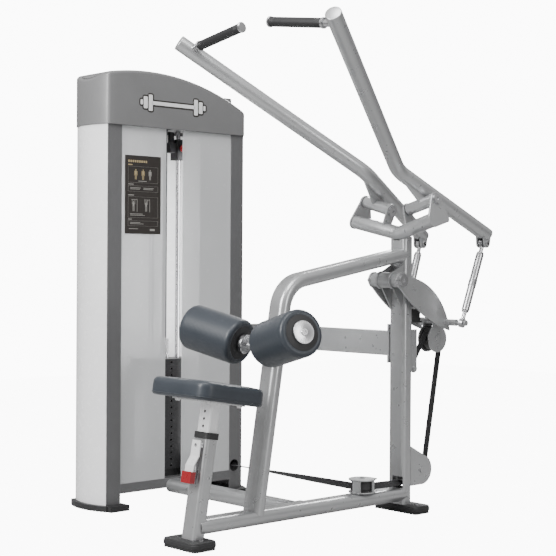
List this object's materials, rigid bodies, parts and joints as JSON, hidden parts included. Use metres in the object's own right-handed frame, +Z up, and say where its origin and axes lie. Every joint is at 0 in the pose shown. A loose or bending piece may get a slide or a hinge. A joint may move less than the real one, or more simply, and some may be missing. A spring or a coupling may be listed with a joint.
{
  "type": "lat pulldown machine",
  "caption": "Selectorised lat pulldown with seat, thigh rollers, two overhead arms and a shrouded weight tower.",
  "frame": {"origin": "on the floor, under the axis of the rear upright, in the centre plane of the seat", "axes": "+X the way the seated user faces, +Y from the seat towards the weight tower (the user's left), +Z up"},
  "size_m": [1.419, 1.3525, 1.7768],
  "materials": {
    "frame_silver": "satin metallic powder coat",
    "tower_grey": "satin powder coat",
    "cap_grey": "satin moulded plastic",
    "shell_white": "satin white",
    "frosted_panel": "frosted translucent sheet",
    "placard_dark": "printed plate",
    "plate_black": "matt black paint",
    "bright_steel": "polished",
    "black_rubber": "matt",
    "grip_rubber": "ribbed",
    "belt_black": "woven-backed belt",
    "pulley_black": "moulded nylon",
    "red_plastic": "moulded",
    "seat_white": "gloss white paint",
    "slate_vinyl": "upholstery vinyl"
  },
  "bodies": {
    "frame": {"rear_upright": "frame_silver", "base_rail": "frame_silver", "bent_tube": "frame_silver", "seat_tube": "frame_silver", "seat_collar": "black_rubber", "yoke": "frame_silver", "pivot_shafts": "bright_steel", "mid_brace": "frame_silver", "cross_base_tube": "frame_silver", "rubber_feet": "black_rubber", "tower_columns": "tower_grey", "tower_base": "tower_grey", "tower_top_beam": "tower_grey", "side_shells": "shell_white", "front_panels": "frosted_panel", "rear_panel": "shell_white", "tower_cap": "cap_grey", "placard": "placard_dark", "guide_rods": "bright_steel", "stack_bumper": "black_rubber", "weight_plates": "plate_black", "lever_bracket": "frame_silver", "belt_anchor": "frame_silver", "lever_stop": "black_rubber", "lower_pulley_plates": "frame_silver", "pulley_box": "frame_silver", "fixed_belts": "belt_black", "frame_bolts": "bright_steel", "roller_bar": "bright_steel", "addon_weight": "plate_black"},
    "left_arm": {"left_arm": "frame_silver", "left_handle": "bright_steel", "left_grip": "grip_rubber"},
    "right_arm": {"right_arm": "frame_silver", "right_handle": "bright_steel", "right_grip": "grip_rubber"},
    "lever": {"lever_shaft": "bright_steel", "lever_plates": "frame_silver"},
    "left_link": {"left_link_rod": "bright_steel"},
    "right_link": {"right_link_rod": "bright_steel"},
    "moving_pulley": {"moving_pulley": "pulley_black"},
    "rear_pulley": {"rear_pulley": "pulley_black"},
    "base_pulley": {"base_pulley": "pulley_black"},
    "tower_pulley": {"tower_pulley": "pulley_black"},
    "top_pulley_right": {"top_pulley_right": "pulley_black"},
    "top_pulley_left": {"top_pulley_left": "pulley_black"},
    "stack": {"lifted_plates": "plate_black", "selector_rod": "bright_steel", "stack_belt": "belt_black"},
    "selector_pin": {"selector_pin": "red_plastic"},
    "addon_pin": {"addon_pin": "red_plastic"},
    "seat": {"seat_post": "seat_white", "seat_pad": "slate_vinyl"},
    "seat_lever": {"seat_lever": "seat_white"},
    "left_roller": {"left_roller": "slate_vinyl"},
    "right_roller": {"right_roller": "slate_vinyl"},
    "rear_run": {"belt_rear_run": "belt_black"},
    "rear_run_top": {"belt_rear_top": "belt_black"},
    "anchor_run": {"belt_anchor_run": "belt_black"},
    "anchor_run_top": {"belt_anchor_top": "belt_black"}
  },
  "joints": [
    {"name": "left_arm_pivot", "type": "hinge", "parent": "frame", "child": "left_arm", "pos_m": [-0.013, 0.111, 1.164], "axis": [0, -0.9659, -0.2588], "range_deg": [0, 45]},
    {"name": "right_arm_pivot", "type": "hinge", "parent": "frame", "child": "right_arm", "pos_m": [-0.013, -0.111, 1.164], "axis": [0, -0.9659, 0.2588], "range_deg": [0, 45]},
    {"name": "lever_pivot", "type": "hinge", "parent": "frame", "child": "lever", "pos_m": [-0.075, 0, 0.88], "axis": [0, -1, 0], "range_deg": [0, 50]},
    {"name": "left_link_swivel", "type": "hinge", "parent": "lever", "child": "left_link", "pos_m": [0.18, 0.15, 0.718], "axis": [0.1858, 0.9664, -0.1777], "range_deg": [0, 48]},
    {"name": "right_link_swivel", "type": "hinge", "parent": "lever", "child": "right_link", "pos_m": [0.18, -0.15, 0.718], "axis": [-0.1858, 0.9664, 0.1777], "range_deg": [0, 48]},
    {"name": "moving_pulley_spin", "type": "hinge", "parent": "lever", "child": "moving_pulley", "pos_m": [0.181, 0, 0.652], "axis": [0, 1, 0], "range_deg": [-5, 500]},
    {"name": "rear_pulley_spin", "type": "hinge", "parent": "frame", "child": "rear_pulley", "pos_m": [0.089, 0, 0.152], "axis": [0, 1, 0], "range_deg": [-5, 800]},
    {"name": "base_pulley_spin", "type": "hinge", "parent": "frame", "child": "base_pulley", "pos_m": [-0.208, 0, 0.12], "axis": [0, 0, 1], "range_deg": [-5, 900]},
    {"name": "tower_pulley_spin", "type": "hinge", "parent": "frame", "child": "tower_pulley", "pos_m": [-0.225, 0.7595, 0.1505], "axis": [1, 0, 0], "range_deg": [-5, 1000]},
    {"name": "top_pulley_right_spin", "type": "hinge", "parent": "frame", "child": "top_pulley_right", "pos_m": [-0.2665, 0.795, 1.53], "axis": [0, 1, 0], "range_deg": [-5, 900]},
    {"name": "top_pulley_left_spin", "type": "hinge", "parent": "frame", "child": "top_pulley_left", "pos_m": [-0.4805, 0.795, 1.53], "axis": [0, 1, 0], "range_deg": [-5, 900]},
    {"name": "stack_lift", "type": "slide", "parent": "frame", "child": "stack", "axis": [0, 0, 1], "range_m": [0, 0.56], "deforming": ["stack_belt"]},
    {"name": "selector_pin_pull", "type": "slide", "parent": "stack", "child": "selector_pin", "axis": [0, -1, 0], "range_m": [0, 0.075]},
    {"name": "addon_pin_pull", "type": "slide", "parent": "frame", "child": "addon_pin", "axis": [0, -1, 0], "range_m": [0, 0.012]},
    {"name": "seat_height", "type": "slide", "parent": "frame", "child": "seat", "axis": [0.165, 0, 0.9863], "range_m": [-0.08, 0.05]},
    {"name": "seat_lever_pivot", "type": "hinge", "parent": "frame", "child": "seat_lever", "pos_m": [-0.99179, 0, 0.33848], "axis": [0, 1, 0], "range_deg": [0, 10]},
    {"name": "left_roller_spin", "type": "hinge", "parent": "frame", "child": "left_roller", "pos_m": [-0.728, 0, 0.647], "axis": [-0.2068, 0.9522, 0.2248], "continuous": true},
    {"name": "right_roller_spin", "type": "hinge", "parent": "frame", "child": "right_roller", "pos_m": [-0.728, 0, 0.647], "axis": [-0.2068, -0.9522, 0.2248], "continuous": true},
    {"name": "rear_run_lean", "type": "hinge", "parent": "frame", "child": "rear_run", "pos_m": [0.089, 0, 0.152], "axis": [0, 1, 0], "range_deg": [-1, 5]},
    {"name": "rear_run_stretch", "type": "slide", "parent": "rear_run", "child": "rear_run_top", "axis": [0.181, 0, 0.9835], "range_m": [0, 0.3], "deforming": ["belt_rear_run", "belt_rear_top"]},
    {"name": "anchor_run_lean", "type": "hinge", "parent": "frame", "child": "anchor_run", "pos_m": [0.052, 0, 0.542], "axis": [0, -1, 0], "range_deg": [-1, 15]},
    {"name": "anchor_run_stretch", "type": "slide", "parent": "anchor_run", "child": "anchor_run_top", "axis": [0.5589, 0, 0.8293], "range_m": [0, 0.3], "deforming": ["belt_anchor_run", "belt_anchor_top"]}
  ],
  "couplings": [
    {"joint": "right_arm_pivot", "follows": "left_arm_pivot", "ratio": 1},
    {"joint": "lever_pivot", "follows": "left_arm_pivot", "ratio": 1.0836},
    {"joint": "left_link_swivel", "follows": "left_arm_pivot", "ratio": 1.0396},
    {"joint": "right_link_swivel", "follows": "left_arm_pivot", "ratio": 1.0396},
    {"joint": "moving_pulley_spin", "follows": "left_arm_pivot", "ratio": 7.5616},
    {"joint": "rear_pulley_spin", "follows": "left_arm_pivot", "ratio": 15.445},
    {"joint": "base_pulley_spin", "follows": "left_arm_pivot", "ratio": 17.791},
    {"joint": "tower_pulley_spin", "follows": "left_arm_pivot", "ratio": 19.796},
    {"joint": "top_pulley_right_spin", "follows": "left_arm_pivot", "ratio": 16.934},
    {"joint": "top_pulley_left_spin", "follows": "left_arm_pivot", "ratio": 16.934},
    {"joint": "stack_lift", "follows": "left_arm_pivot", "m_per_rad": 0.70275},
    {"joint": "rear_run_lean", "follows": "left_arm_pivot", "ratio": 0.054667},
    {"joint": "rear_run_stretch", "follows": "left_arm_pivot", "m_per_rad": 0.3587},
    {"joint": "anchor_run_lean", "follows": "left_arm_pivot", "ratio": 0.23749},
    {"joint": "anchor_run_stretch", "follows": "left_arm_pivot", "m_per_rad": 0.34405}
  ]
}
